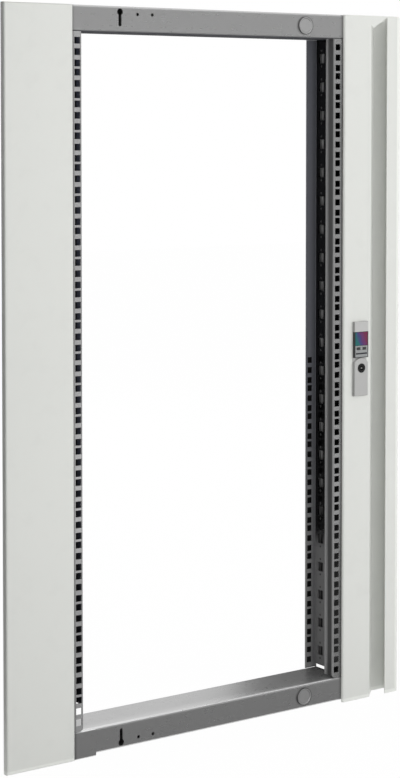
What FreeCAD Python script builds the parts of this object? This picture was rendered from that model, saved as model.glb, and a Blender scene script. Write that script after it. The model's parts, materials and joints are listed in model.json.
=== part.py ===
import FreeCAD
import Part
import cmath
import math
import os

# Swing frame for 19-inch equipment, 22 height units, hinged on the left, locked on the right.
# X runs to the right along the front, Y into the depth, Z up. Millimetres.
# Sizes are written from the middle of the frame, the front of the trim panels and the
# underside of the bottom rail. ORIGIN then moves everything to the pivot axis.

UNITS = 22
UNIT_PITCH = 44.45
HOLE_STEP = 15.875
HOLE_COLUMN = 465.1 / 2
HOLE_SIDE = 9.5
REAR_PUNCHED_UNITS = 11
OPENING_HALF = 225.0

FRAME_HEIGHT = 1065.0
RAIL_HEIGHT = 37.0
FRAME_SHEET = 2.0
FRAME_BEND = 2.0
FRAME_FRONT = 4.5
FRAME_DEPTH = 70.0
FRAME_REAR = FRAME_FRONT + FRAME_DEPTH

FLANGE_WIDTH = 20.5
UPRIGHT_BEND = 0.7
LIP_DEPTH = 18.0
BEAD_RADIUS = 2.2
FLANGE_CORNER = 6.0
WEB_INNER = OPENING_HALF + FLANGE_WIDTH - FRAME_SHEET
WEB_OUTER = OPENING_HALF + FLANGE_WIDTH
LEFT_LIP_START = RAIL_HEIGHT + 37.0
RIGHT_LIP_START = RAIL_HEIGHT + 3.0
WEB_SLOT_DEPTH = 13.0
WEB_SLOT_HEIGHT = 14.5
WEB_SLOT_Y = 59.0
WEB_NOTCH_FRONT = 45.0
WEB_NOTCH_LENGTH = 26.0
WEB_NOTCH_HEIGHT = 5.5
CHANNEL_SHEET = 1.5
CHANNEL_FRONT = 48.0
CHANNEL_REAR = 80.5
CHANNEL_REACH = 16.5
CHANNEL_EDGE = 230.0
CHANNEL_BOTTOM = 41.0
RIGHT_CHANNEL_TOP = 1019.0
LEFT_CHANNEL_TOP = 980.0

RAIL_SEAM = 44.0
RAIL_SEAM_GAP = 1.0
KEYHOLE_X = -162.0
KEYHOLE_HEAD_RADIUS = 4.8
KEYHOLE_HEAD_EDGE = 8.2
KEYHOLE_SLOT_WIDTH = 5.2
KEYHOLE_SLOT_EDGE = 28.8
ROUND_HOLE_RADIUS = 2.4
ROUND_HOLE_EDGE = 11.0
ROUND_HOLE_X = -132.5
ROUND_HOLE_PITCH = 25.0
CAP_X = 169.0
CAP_RADIUS = 13.5
CAP_PROUD = 2.4
CAP_RIM = 2.5
CAP_DISH = 0.7

PANEL_SHEET = 1.5
PANEL_INNER = 242.0
PANEL_BOTTOM = -3.0
LEFT_PANEL_WIDTH = 109.0
LEFT_RETURN = 10.0
INNER_RETURN = 4.0
PANEL_CORNER = 2.5
RIGHT_FLAT = 52.7
GROOVE_MOUTH = 32.3
GROOVE_DEPTH = 24.0
GROOVE_SLOPE = 24.0
OUTER_STRIP = 26.5
GROOVE_BEND = 2.0
GUSSET_DROP = 19.5
GUSSET_SHOULDER = 13.0
GUSSET_POINT = 4.0

PIVOT_X = -290.0
PIVOT_Y = 45.0
PIVOT_RADIUS = 6.0
PIVOT_CLEARANCE = 0.05
PLATE_LENGTH = 56.0
PLATE_WIDTH = 30.0
PLATE_CORNER = 6.0
PLATE_BOLT_SPACING = 38.0
PLATE_BOLT_RADIUS = 3.3
LOWER_PLATE_BOTTOM = -10.0
LOWER_PLATE_THICK = 5.5
UPPER_PLATE_BOTTOM = 1053.0
UPPER_PLATE_THICK = 6.0
SHOE_SHEET = 2.5
SHOE_BOTTOM = PANEL_BOTTOM
SHOE_BEND = 0.5
SHOE_END_X = -206.0
ARM_END_RADIUS = 16.0
ARM_SHEET = 3.0
ARM_TOP = 1050.0
ARM_LEG = 62.0
BUSH_RADIUS = 8.0
BUSH_FLANGE_RADIUS = 11.0
BUSH_FLANGE = 1.45
BUSH_LENGTH = 11.0
PIN_OVERLAP = 4.0

BRACKET_SHEET = 2.0
BRACKET_HEIGHT = 40.0
BRACKET_DEPTH = 44.0
BRACKET_REACH = 38.0
BRACKET_STUD = 24.0
LEFT_BRACKETS = (150.0, 532.0, 915.0)
RIGHT_BRACKETS = (150.0, 660.0, 915.0)
BRACKET_SCREW_Y = 32.0
SCREW_HEAD_FLATS = 10.0
SCREW_HEAD_THICK = 4.0
NUT_FLATS = 8.0
NUT_THICK = 4.0

LOCK_X = 273.0
LOCK_Z = 518.8
LOCK_WIDTH = 27.0
LOCK_BOTTOM = 475.6
LOCK_TOP = 591.2
LOCK_PROUD = 5.2
LOCK_PLATE = 0.9
LEVER_BACK = -1.2
LEVER_TOP_RADIUS = 15.9
LEVER_EDGE = 0.8
INSERT_BOTTOM = 535.3
INSERT_TOP = 575.6
WINDOW_BOTTOM = 554.2
WINDOW_TOP = 574.8
WINDOW_MARGIN = 1.4
WINDOW_THICK = 1.0
BUTTON_Z = 549.3
BUTTON_OFFSET = 5.8
BUTTON_HALF_WIDTH = 3.4
BUTTON_HALF_HEIGHT = 1.9
BUTTON_GAP = 0.3
BUTTON_FLANGE_EDGE = 0.9
BUTTON_FLANGE = 0.4
BUTTON_POCKET_EDGE = 1.3
BUTTON_POCKET = 1.7
BUTTON_BEVEL = 0.4
BUTTON_PROUD = 0.7
STRIP_Z = 541.6
STRIP_HEIGHT = 2.4
STRIP_THICK = 0.8
STRIP_INSET = 1.0
KEYPAD_BOTTOM = 536.2
KEYPAD_TOP = 553.6
KEYPAD_THICK = 0.6

RING_RADIUS = 7.2
RING_PROUD = 0.5
BARREL_RADIUS = 3.25
BARREL_BORE = 3.3
SPINDLE_RADIUS = 7.0
SPINDLE_BORE = 7.05
SPINDLE_SQUARE = 9.6
CRANK_FRONT = 8.2
CRANK_THICK = 3.0
CRANK_HALF_LENGTH = 17.5
CRANK_HALF_WIDTH = 9.5
CRANK_BEVEL = 4.0
ROD_TRAVEL = 18.0
CRANK_PIN_RADIUS = 2.5
CRANK_PIN_ARM = ROD_TRAVEL / 2 / math.sin(math.pi / 4)
PIN_STICK_OUT = 0.4
ROD_FRONT = 12.8
ROD_THICK = 3.0
ROD_WIDTH = 10.0
ROD_OFFSET = 13.0
FORK_INNER = 6.3
FORK_OUTER = 18.0
FORK_HEIGHT = 15.0
FORK_SLOT = 6.6
UPPER_ROD_END = 1060.0
LOWER_ROD_END = 2.0
ROD_POINT = 8.0
GUIDE_WIDTH = 14.5
GUIDE_HEIGHT = 14.0
GUIDE_BACK = 19.0
GUIDE_SLACK = 0.4
GUIDE_EAR = 3.0
GUIDE_BEVEL = 2.0
UPPER_GUIDES = (620.0, 985.0)
LOWER_GUIDES = (75.0, 430.0)
CAM_FRONT = 18.7
CAM_THICK = 2.0
CAM_LENGTH = 14.0
CAM_WIDTH = 9.0
CAM_SCREW_FLATS = 5.5
CAM_SCREW_THICK = 1.6
KEY_SLOT_HALF_WIDTH = 0.7
KEY_SLOT_HALF_HEIGHT = 2.3
KEY_SLOT_DEPTH = 4.0
CASE_SHEET = 1.5
CASE_HALF = 19.0
CASE_BACK = 23.5
CASE_HEIGHT = 68.0
CASE_STUD = 28.0

ORIGIN = FreeCAD.Vector(PIVOT_X, PIVOT_Y, LOWER_PLATE_BOTTOM)
ACROSS = FreeCAD.Vector(1, 0, 0)
INWARD = FreeCAD.Vector(0, 1, 0)
UP = FreeCAD.Vector(0, 0, 1)


def save(name, shape):
    """Write one piece, measured from the pivot axis."""
    placed = shape.copy()
    placed.translate(ORIGIN * -1)
    placed.exportStep(os.path.join("parts", name + ".step"))


def block(x0, x1, y0, y1, z0, z1):
    corner = FreeCAD.Vector(x0, y0, z0)
    return Part.makeBox(x1 - x0, y1 - y0, z1 - z0, corner)


def rod_along(axis, radius, length, x, y, z):
    return Part.makeCylinder(radius, length, FreeCAD.Vector(x, y, z), axis)


def hex_along(axis, flats, length, x, y, z):
    """Hexagonal prism on an axis, for bolt heads and nuts."""
    side = FreeCAD.Vector(0, 0, 1) if axis != UP else ACROSS
    other = axis.cross(side)
    reach = flats / math.sqrt(3)
    centre = FreeCAD.Vector(x, y, z)
    corners = []
    for step in range(7):
        angle = math.radians(60 * step)
        corners.append(centre + side * (reach * math.cos(angle)) + other * (reach * math.sin(angle)))
    return Part.Face(Part.makePolygon(corners)).extrude(axis * length)


def in_plan(point):
    return FreeCAD.Vector(point.real, point.imag, 0)


def in_side_view(point):
    return FreeCAD.Vector(0, point.real, point.imag)


def in_front_view(point):
    return FreeCAD.Vector(point.real, 0, point.imag)


def folded_sheet(corners, sheet, bend, view, along):
    """Sheet of even thickness folded along the middle line through corners, with round bends."""
    path = [complex(*corner) for corner in corners]
    ways = [(b - a) / abs(b - a) for a, b in zip(path, path[1:])]
    middle = bend + sheet / 2
    outline = []
    for side in (1, -1):
        stretch = [("point", path[0] + side * sheet / 2 * ways[0] * 1j)]
        for corner, before, after in zip(path[1:-1], ways, ways[1:]):
            turn = cmath.phase(after / before)
            sign = math.copysign(1, turn)
            back_off = middle * math.tan(abs(turn) / 2)
            start = corner - before * back_off
            centre = start + before * 1j * sign * middle
            outward = (corner - centre) / abs(corner - centre)
            stretch.append(("point", start + side * sheet / 2 * before * 1j))
            stretch.append(("through", centre + outward * (middle - side * sign * sheet / 2)))
            stretch.append(("point", corner + after * back_off + side * sheet / 2 * after * 1j))
        stretch.append(("point", path[-1] + side * sheet / 2 * ways[-1] * 1j))
        outline += stretch if side == 1 else stretch[::-1]
    outline.append(outline[0])
    edges = []
    for index, (kind, point) in enumerate(outline[1:], 1):
        before_kind, before = outline[index - 1]
        if kind == "through":
            after = outline[index + 1][1]
            edges.append(Part.Arc(view(before), view(point), view(after)).toShape())
        elif before_kind == "point":
            edges.append(Part.LineSegment(view(before), view(point)).toShape())
    return Part.Face(Part.Wire(edges)).extrude(along)


def mirrored(shape):
    return shape.mirror(FreeCAD.Vector(0, 0, 0), ACROSS)


def upside_down(shape):
    return shape.mirror(FreeCAD.Vector(0, 0, FRAME_HEIGHT / 2), UP)


def hole_heights():
    """Middles of the square holes: three in each height unit, the outer two 15.875 from the middle."""
    first = (FRAME_HEIGHT - UNITS * UNIT_PITCH) / 2 + UNIT_PITCH / 2
    heights = []
    for unit in range(UNITS):
        middle = first + unit * UNIT_PITCH
        heights += [middle - HOLE_STEP, middle, middle + HOLE_STEP]
    return heights


def flange_cutters():
    """Square holes through the front flange and the rear flange, clear of the lip between them."""
    half = HOLE_SIDE / 2
    x0 = HOLE_COLUMN - half
    x1 = HOLE_COLUMN + half
    past = FRAME_SHEET + 1
    cutters = []
    for z in hole_heights():
        cutters.append(block(x0, x1, FRAME_FRONT - 1, FRAME_FRONT + past, z - half, z + half))
    for z in hole_heights()[:3 * REAR_PUNCHED_UNITS]:
        cutters.append(block(x0, x1, FRAME_REAR - past, FRAME_REAR + 1, z - half, z + half))
    return cutters


def web_cutters():
    """One slot in each height unit of the web."""
    first = (FRAME_HEIGHT - UNITS * UNIT_PITCH) / 2 + UNIT_PITCH / 2
    deep = WEB_SLOT_DEPTH / 2
    high = WEB_SLOT_HEIGHT / 2
    cutters = []
    for unit in range(UNITS):
        z = first + unit * UNIT_PITCH
        cutters.append(block(
            WEB_INNER - 1, WEB_OUTER + 1, WEB_SLOT_Y - deep, WEB_SLOT_Y + deep, z - high, z + high,
        ))
    return cutters


def web_foot_notch():
    y1 = WEB_NOTCH_FRONT + WEB_NOTCH_LENGTH
    z1 = RAIL_HEIGHT + WEB_NOTCH_HEIGHT
    return block(WEB_INNER - 1, WEB_OUTER + 1, WEB_NOTCH_FRONT, y1, RAIL_HEIGHT - 1, z1)


def flange_corner_cutter():
    """Leaves a round lower corner on the front flange."""
    x1 = OPENING_HALF + FLANGE_CORNER
    z1 = RAIL_HEIGHT + FLANGE_CORNER
    y0 = FRAME_FRONT - 1
    y1 = FRAME_FRONT + FRAME_SHEET + 1
    square = block(OPENING_HALF - 1, x1, y0, y1, RAIL_HEIGHT - 1, z1)
    return square.cut(rod_along(INWARD, FLANGE_CORNER, y1 - y0, x1, y0, z1))


def upright(lip_start):
    """Right-hand upright: front flange with a beaded lip, web, rear flange."""
    half = FRAME_SHEET / 2
    lip_x = OPENING_HALF + half
    lip_end = FRAME_FRONT + LIP_DEPTH
    web_x = WEB_OUTER - half
    corners = [
        (lip_x, lip_end),
        (lip_x, FRAME_FRONT + half),
        (web_x, FRAME_FRONT + half),
        (web_x, FRAME_REAR - half),
        (OPENING_HALF, FRAME_REAR - half),
    ]
    length = FRAME_HEIGHT - 2 * RAIL_HEIGHT
    bar = folded_sheet(corners, FRAME_SHEET, UPRIGHT_BEND, in_plan, UP * length)
    bar.translate(UP * RAIL_HEIGHT)
    bead = rod_along(UP, BEAD_RADIUS, length, lip_x, lip_end, RAIL_HEIGHT)
    bar = bar.fuse(bead)
    lip_room = block(
        OPENING_HALF - BEAD_RADIUS, OPENING_HALF + FRAME_SHEET + BEAD_RADIUS,
        FRAME_FRONT + FRAME_SHEET + UPRIGHT_BEND, lip_end + 2 * BEAD_RADIUS,
        RAIL_HEIGHT - 1, lip_start,
    )
    cutters = flange_cutters() + web_cutters()
    cutters += [web_foot_notch(), flange_corner_cutter(), lip_room]
    return bar.cut(Part.makeCompound(cutters)).removeSplitter()


def side_channel(top):
    """Right-hand sheet that closes the upright from the outside and from behind to a box."""
    half = CHANNEL_SHEET / 2
    end = WEB_OUTER + CHANNEL_REACH - half
    front = CHANNEL_FRONT + half
    rear = CHANNEL_REAR - half
    corners = [(WEB_OUTER, front), (end, front), (end, rear), (CHANNEL_EDGE, rear)]
    channel = folded_sheet(corners, CHANNEL_SHEET, CHANNEL_SHEET, in_plan, UP * (top - CHANNEL_BOTTOM))
    channel.translate(UP * CHANNEL_BOTTOM)
    return channel


def keyhole_cutter():
    y0 = FRAME_FRONT - 1
    deep = FRAME_SHEET + 2
    head = rod_along(INWARD, KEYHOLE_HEAD_RADIUS, deep, KEYHOLE_X, y0, KEYHOLE_HEAD_EDGE)
    half = KEYHOLE_SLOT_WIDTH / 2
    slot_end = KEYHOLE_SLOT_EDGE - half
    slot = block(KEYHOLE_X - half, KEYHOLE_X + half, y0, y0 + deep, KEYHOLE_HEAD_EDGE, slot_end)
    end = rod_along(INWARD, half, deep, KEYHOLE_X, y0, slot_end)
    return head.fuse([slot, end])


def bottom_rail():
    """Box folded from one sheet, seam below, with a keyhole and two round holes in front."""
    half = FRAME_SHEET / 2
    front = FRAME_FRONT + half
    rear = FRAME_REAR - half
    top = RAIL_HEIGHT - half
    corners = [
        (RAIL_SEAM, half), (front, half), (front, top),
        (rear, top), (rear, half), (RAIL_SEAM + RAIL_SEAM_GAP, half),
    ]
    rail = folded_sheet(corners, FRAME_SHEET, FRAME_BEND, in_side_view, ACROSS * (2 * WEB_OUTER))
    rail.translate(ACROSS * -WEB_OUTER)
    y0 = FRAME_FRONT - 1
    deep = FRAME_SHEET + 2
    cutters = [keyhole_cutter()]
    for index in range(2):
        x = ROUND_HOLE_X + index * ROUND_HOLE_PITCH
        cutters.append(rod_along(INWARD, ROUND_HOLE_RADIUS, deep, x, y0, ROUND_HOLE_EDGE))
    return rail.cut(Part.makeCompound(cutters))


def lower_cover_cap():
    """Dished round cap on the front of the rail."""
    z = RAIL_HEIGHT / 2
    front = FRAME_FRONT - CAP_PROUD
    floor = front + CAP_DISH
    outline = [
        (0, floor), (CAP_RADIUS - CAP_RIM - CAP_DISH, floor), (CAP_RADIUS - CAP_RIM, front),
        (CAP_RADIUS, front), (CAP_RADIUS, FRAME_FRONT), (0, FRAME_FRONT), (0, floor),
    ]
    points = [FreeCAD.Vector(CAP_X + r, y, z) for r, y in outline]
    axis_point = FreeCAD.Vector(CAP_X, 0, z)
    return Part.Face(Part.makePolygon(points)).revolve(axis_point, INWARD, 360)


def left_trim_panel():
    """Shallow tray with a deep left return, relieved where the hinge shoe passes behind it."""
    x0 = -PANEL_INNER - LEFT_PANEL_WIDTH
    x1 = -PANEL_INNER
    tray = block(x0, x1, 0, LEFT_RETURN, PANEL_BOTTOM, FRAME_HEIGHT)
    front_edges = [e for e in tray.Edges if e.BoundBox.YMax < 0.001]
    tray = tray.makeFillet(PANEL_CORNER, front_edges)
    rear = [f for f in tray.Faces if f.BoundBox.YMin > LEFT_RETURN - 0.001]
    tray = tray.makeThickness(rear, -PANEL_SHEET, 0.001)
    left_wall = x0 + PANEL_SHEET
    cutters = [
        block(left_wall, x1 + 1, INNER_RETURN, LEFT_RETURN + 1, PANEL_BOTTOM - 1, FRAME_HEIGHT + 1),
        block(
            PIVOT_X - ARM_END_RADIUS - 2, x1 + 1, PANEL_SHEET + 0.1, LEFT_RETURN,
            PANEL_BOTTOM - 1, RAIL_HEIGHT + 1,
        ),
    ]
    return tray.cut(Part.makeCompound(cutters))


def top_gusset():
    """Flat corner that joins the outer strip to the face at the top of the grip groove."""
    flat_end = PANEL_INNER + RIGHT_FLAT
    strip = flat_end + GROOVE_MOUTH
    lap = 2.0
    outline = [
        (flat_end - lap, FRAME_HEIGHT), (strip + lap, FRAME_HEIGHT),
        (strip + lap, FRAME_HEIGHT - lap), (strip, FRAME_HEIGHT - lap),
        (flat_end + GUSSET_POINT, FRAME_HEIGHT - GUSSET_DROP),
        (flat_end, FRAME_HEIGHT - GUSSET_SHOULDER), (flat_end - lap, FRAME_HEIGHT - GUSSET_SHOULDER),
        (flat_end - lap, FRAME_HEIGHT),
    ]
    points = [FreeCAD.Vector(x, 0, z) for x, z in outline]
    return Part.Face(Part.makePolygon(points)).extrude(INWARD * PANEL_SHEET)


def right_trim_panel():
    """Face, slanted groove wall, groove floor, outer wall and the strip folded back in front."""
    half = PANEL_SHEET / 2
    flat_end = PANEL_INNER + RIGHT_FLAT
    outer = flat_end + GROOVE_MOUTH + OUTER_STRIP
    floor = GROOVE_DEPTH + half
    corners = [
        (PANEL_INNER + half, INNER_RETURN),
        (PANEL_INNER + half, half),
        (flat_end, half),
        (flat_end + GROOVE_SLOPE, floor),
        (outer - half, floor),
        (outer - half, half),
        (flat_end + GROOVE_MOUTH, half),
    ]
    height = FRAME_HEIGHT - PANEL_BOTTOM
    panel = folded_sheet(corners, PANEL_SHEET, GROOVE_BEND, in_plan, UP * height)
    panel.translate(UP * PANEL_BOTTOM)
    panel = panel.fuse(top_gusset())
    return panel.cut(rod_along(INWARD, SPINDLE_BORE, PANEL_SHEET + 2, LOCK_X, -1, LOCK_Z)).removeSplitter()


def pivot_plate(bottom, thick):
    """Plate for the cabinet: pin hole in the middle, a bolt hole on each side of it."""
    long = PLATE_LENGTH / 2
    wide = PLATE_WIDTH / 2
    plate = block(PIVOT_X - long, PIVOT_X + long, PIVOT_Y - wide, PIVOT_Y + wide, bottom, bottom + thick)
    upright_edges = [e for e in plate.Edges if e.BoundBox.ZLength > thick / 2]
    plate = plate.makeChamfer(PLATE_CORNER, upright_edges)
    cutters = [rod_along(UP, PIVOT_RADIUS, thick + 2, PIVOT_X, PIVOT_Y, bottom - 1)]
    for way in (-1, 1):
        x = PIVOT_X + way * PLATE_BOLT_SPACING / 2
        cutters.append(rod_along(UP, PLATE_BOLT_RADIUS, thick + 2, x, PIVOT_Y, bottom - 1))
    return plate.cut(Part.makeCompound(cutters))


def hinge_shoe():
    """Angle under the left end of the bottom rail that reaches out to the pivot."""
    front = FRAME_FRONT - SHOE_SHEET
    rear = PIVOT_Y + ARM_END_RADIUS
    left = PIVOT_X - ARM_END_RADIUS
    half = SHOE_SHEET / 2
    floor = SHOE_BOTTOM + half
    corners = [(front + half, RAIL_HEIGHT - 1), (front + half, floor), (rear, floor)]
    shoe = folded_sheet(corners, SHOE_SHEET, SHOE_BEND, in_side_view, ACROSS * (SHOE_END_X - left))
    shoe.translate(ACROSS * left)
    corner = [
        e for e in shoe.Edges
        if e.BoundBox.XMax < left + 0.01 and e.BoundBox.YMin > rear - 0.01 and e.BoundBox.ZLength > 1
    ]
    shoe = shoe.makeFillet(ARM_END_RADIUS - 0.5, corner)
    return shoe.cut(rod_along(UP, BUSH_RADIUS, 20, PIVOT_X, PIVOT_Y, -10))


def arm_screw_places():
    y = PIVOT_Y - 5
    z = ARM_TOP - ARM_LEG
    return [(y, z + 10.0), (y, z + 28.0)]


def upper_hinge_arm():
    """Angle on the left upright: one leg screwed to the web, the other reaching out to the pivot."""
    half = ARM_SHEET / 2
    leg_x = -WEB_OUTER - half
    end_x = PIVOT_X - ARM_END_RADIUS
    corners = [(leg_x, ARM_TOP - ARM_LEG), (leg_x, ARM_TOP - half), (end_x, ARM_TOP - half)]
    arm = folded_sheet(corners, ARM_SHEET, FRAME_BEND, in_front_view, INWARD * (2 * ARM_END_RADIUS))
    arm.translate(INWARD * (PIVOT_Y - ARM_END_RADIUS))
    tips = [e for e in arm.Edges if e.BoundBox.XMax < end_x + 0.01 and e.BoundBox.ZLength > 1]
    arm = arm.makeFillet(ARM_END_RADIUS - 0.5, tips)
    return arm.cut(rod_along(UP, BUSH_RADIUS, 20, PIVOT_X, PIVOT_Y, ARM_TOP - 10))


def bush(seat, way):
    """Flanged bush: the flange faces the pivot plate, the sleeve runs the given way through the arm."""
    sleeve = rod_along(UP * way, BUSH_RADIUS, BUSH_LENGTH, PIVOT_X, PIVOT_Y, seat)
    flange = rod_along(UP * -way, BUSH_FLANGE_RADIUS, BUSH_FLANGE, PIVOT_X, PIVOT_Y, seat)
    length = BUSH_LENGTH + BUSH_FLANGE
    start = seat - way * BUSH_FLANGE
    bore = rod_along(UP * way, PIVOT_RADIUS + PIVOT_CLEARANCE, length, PIVOT_X, PIVOT_Y, start)
    return sleeve.fuse(flange).cut(bore).removeSplitter()


def panel_bracket(z):
    """Right-hand angle between the web and the back of the trim panel."""
    half = BRACKET_SHEET / 2
    x = WEB_OUTER + half
    y = PANEL_SHEET + half
    corners = [(x, y + BRACKET_DEPTH), (x, y), (x + BRACKET_REACH, y)]
    bracket = folded_sheet(corners, BRACKET_SHEET, BRACKET_SHEET / 2, in_plan, UP * BRACKET_HEIGHT)
    bracket.translate(UP * (z - BRACKET_HEIGHT / 2))
    return bracket


def web_screw(y, z, sheet):
    """Head of a screw that holds a fitting to the outside of the right-hand web."""
    return hex_along(ACROSS, SCREW_HEAD_FLATS, SCREW_HEAD_THICK, WEB_OUTER + sheet, y, z)


def panel_nuts():
    """Nuts on the weld studs of the two trim panels."""
    seat = PANEL_SHEET + BRACKET_SHEET
    places = [(WEB_OUTER + BRACKET_STUD, seat, z) for z in RIGHT_BRACKETS]
    places += [(-WEB_OUTER - BRACKET_STUD, seat, z) for z in LEFT_BRACKETS]
    places += [(LOCK_X, PANEL_SHEET + GUIDE_EAR, z) for z in UPPER_GUIDES + LOWER_GUIDES]
    places += [(LOCK_X, CASE_BACK + CASE_SHEET, LOCK_Z + way * CASE_STUD) for way in (-1, 1)]
    return Part.makeCompound([hex_along(INWARD, NUT_FLATS, NUT_THICK, *place) for place in places])


def lock_base():
    """Low housing on the panel: thick block on top, thin plate under the display and the lever."""
    half = LOCK_WIDTH / 2
    plate = block(LOCK_X - half, LOCK_X + half, -LOCK_PLATE, 0, LOCK_BOTTOM, LOCK_TOP)
    head = block(LOCK_X - half, LOCK_X + half, -LOCK_PROUD, 0, INSERT_TOP, LOCK_TOP)
    front_edges = [
        e for e in head.Edges
        if e.BoundBox.YMax < -LOCK_PROUD + 0.01 and e.BoundBox.ZMin > INSERT_TOP + 1
    ]
    base = head.makeChamfer(LEVER_EDGE, front_edges).fuse(plate)
    bore = rod_along(INWARD, SPINDLE_BORE, LOCK_PLATE + 2, LOCK_X, -LOCK_PLATE - 1, LOCK_Z)
    return base.cut(bore).removeSplitter()


def button_places():
    return [(LOCK_X - BUTTON_OFFSET, BUTTON_Z), (LOCK_X + BUTTON_OFFSET, BUTTON_Z)]


def display_half_width():
    return LOCK_WIDTH / 2 - WINDOW_MARGIN


def front_slab(z0, z1, thick, inset=0):
    """Slab flush with the front of the insert, as wide as the display less an inset at each end."""
    half = display_half_width() - inset
    return block(LOCK_X - half, LOCK_X + half, -LOCK_PROUD, -LOCK_PROUD + thick, z0, z1)


def strip_slab():
    return front_slab(STRIP_Z - STRIP_HEIGHT / 2, STRIP_Z + STRIP_HEIGHT / 2, STRIP_THICK, STRIP_INSET)


def button_block(place, edge, y0, y1):
    """Block on the axis of a button, wider than its cap by an edge all round."""
    x, z = place
    wide = BUTTON_HALF_WIDTH + edge
    high = BUTTON_HALF_HEIGHT + edge
    return block(x - wide, x + wide, y0, y1, z - high, z + high)


def button_holes():
    return [button_block(place, BUTTON_GAP, -LOCK_PROUD - 1, -LOCK_PLATE + 1) for place in button_places()]


def display_insert():
    """Dark insert with recesses for window, keypad and light strip, and stepped button holes."""
    half = LOCK_WIDTH / 2
    body = block(LOCK_X - half, LOCK_X + half, -LOCK_PROUD, -LOCK_PLATE, INSERT_BOTTOM, INSERT_TOP)
    cutters = [
        front_slab(WINDOW_BOTTOM, WINDOW_TOP, WINDOW_THICK),
        front_slab(KEYPAD_BOTTOM, KEYPAD_TOP, KEYPAD_THICK),
        strip_slab(),
    ]
    cutters += button_holes()
    for place in button_places():
        cutters.append(button_block(place, BUTTON_POCKET_EDGE, -LOCK_PLATE - BUTTON_POCKET, -LOCK_PLATE + 1))
    return body.cut(Part.makeCompound(cutters))


def display_window():
    return front_slab(WINDOW_BOTTOM, WINDOW_TOP, WINDOW_THICK)


def status_strip():
    return strip_slab()


def keypad_plate():
    """Thin front plate below the window, open for the buttons and the light strip."""
    plate = front_slab(KEYPAD_BOTTOM, KEYPAD_TOP, KEYPAD_THICK)
    return plate.cut(Part.makeCompound(button_holes() + [strip_slab()]))


def push_button(place):
    """Bevelled cap that stands a little proud, with a flange that keeps it in the insert."""
    front = -LOCK_PROUD - BUTTON_PROUD
    back = -LOCK_PLATE - BUTTON_POCKET + BUTTON_GAP + BUTTON_FLANGE
    cap = button_block(place, 0, front, back)
    rim = [e for e in cap.Edges if e.BoundBox.YMax < front + 0.01]
    flange = button_block(place, BUTTON_FLANGE_EDGE, back - BUTTON_FLANGE, back)
    return cap.makeChamfer(BUTTON_BEVEL, rim).fuse(flange).removeSplitter()


def lever_outline():
    half = LOCK_WIDTH / 2
    shoulder = math.sqrt(LEVER_TOP_RADIUS ** 2 - half ** 2)
    low_left = FreeCAD.Vector(LOCK_X - half, -LOCK_PROUD, LOCK_BOTTOM)
    low_right = FreeCAD.Vector(LOCK_X + half, -LOCK_PROUD, LOCK_BOTTOM)
    right = FreeCAD.Vector(LOCK_X + half, -LOCK_PROUD, LOCK_Z + shoulder)
    top = FreeCAD.Vector(LOCK_X, -LOCK_PROUD, LOCK_Z + LEVER_TOP_RADIUS)
    left = FreeCAD.Vector(LOCK_X - half, -LOCK_PROUD, LOCK_Z + shoulder)
    edges = [
        Part.LineSegment(low_left, low_right).toShape(),
        Part.LineSegment(low_right, right).toShape(),
        Part.Arc(right, top, left).toShape(),
        Part.LineSegment(left, low_left).toShape(),
    ]
    return Part.Face(Part.Wire(edges))


def lock_lever():
    """Flat cast lever with a hollow drive spindle behind it."""
    lever = lever_outline().extrude(INWARD * (LEVER_BACK + LOCK_PROUD))
    front_edges = [e for e in lever.Edges if e.BoundBox.YMax < -LOCK_PROUD + 0.01]
    lever = lever.makeChamfer(LEVER_EDGE, front_edges)
    spindle = rod_along(INWARD, SPINDLE_RADIUS, CRANK_FRONT - LEVER_BACK, LOCK_X, LEVER_BACK, LOCK_Z)
    half = SPINDLE_SQUARE / 2
    drive_end = CRANK_FRONT + CRANK_THICK
    drive = block(LOCK_X - half, LOCK_X + half, CRANK_FRONT, drive_end, LOCK_Z - half, LOCK_Z + half)
    lever = lever.fuse([spindle, drive])
    return lever.cut(rod_along(INWARD, BARREL_BORE, 40, LOCK_X, -20, LOCK_Z)).removeSplitter()


def lock_ring():
    front = -LOCK_PROUD - RING_PROUD
    ring = rod_along(INWARD, RING_RADIUS, RING_PROUD, LOCK_X, front, LOCK_Z)
    return ring.cut(rod_along(INWARD, BARREL_BORE, 40, LOCK_X, -20, LOCK_Z))


def lock_barrel():
    """Key barrel through the hollow spindle, with a key slot in front."""
    front = -LOCK_PROUD - RING_PROUD + 0.2
    barrel = rod_along(INWARD, BARREL_RADIUS, CAM_FRONT - front, LOCK_X, front, LOCK_Z)
    wide = KEY_SLOT_HALF_WIDTH
    high = KEY_SLOT_HALF_HEIGHT
    slot_end = front + KEY_SLOT_DEPTH
    slot = block(LOCK_X - wide, LOCK_X + wide, front - 1, slot_end, LOCK_Z - high, LOCK_Z + high)
    return barrel.cut(slot)


def barrel_cam():
    """Round-ended blocking cam on the back of the barrel, pointing up when locked."""
    half = CAM_WIDTH / 2
    hub = rod_along(INWARD, half, CAM_THICK, LOCK_X, CAM_FRONT, LOCK_Z)
    arm = block(LOCK_X - half, LOCK_X + half, CAM_FRONT, CAM_FRONT + CAM_THICK, LOCK_Z, LOCK_Z + CAM_LENGTH)
    return hub.fuse(arm).removeSplitter()


def cam_screw():
    return hex_along(INWARD, CAM_SCREW_FLATS, CAM_SCREW_THICK, LOCK_X, CAM_FRONT + CAM_THICK, LOCK_Z)


def crank_pin_places():
    """The upper rod's pin stands up to the right of the axis, the lower rod's opposite to it."""
    step = ROD_TRAVEL / 2
    return [(LOCK_X + way * step, LOCK_Z + way * step) for way in (1, -1)]


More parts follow.
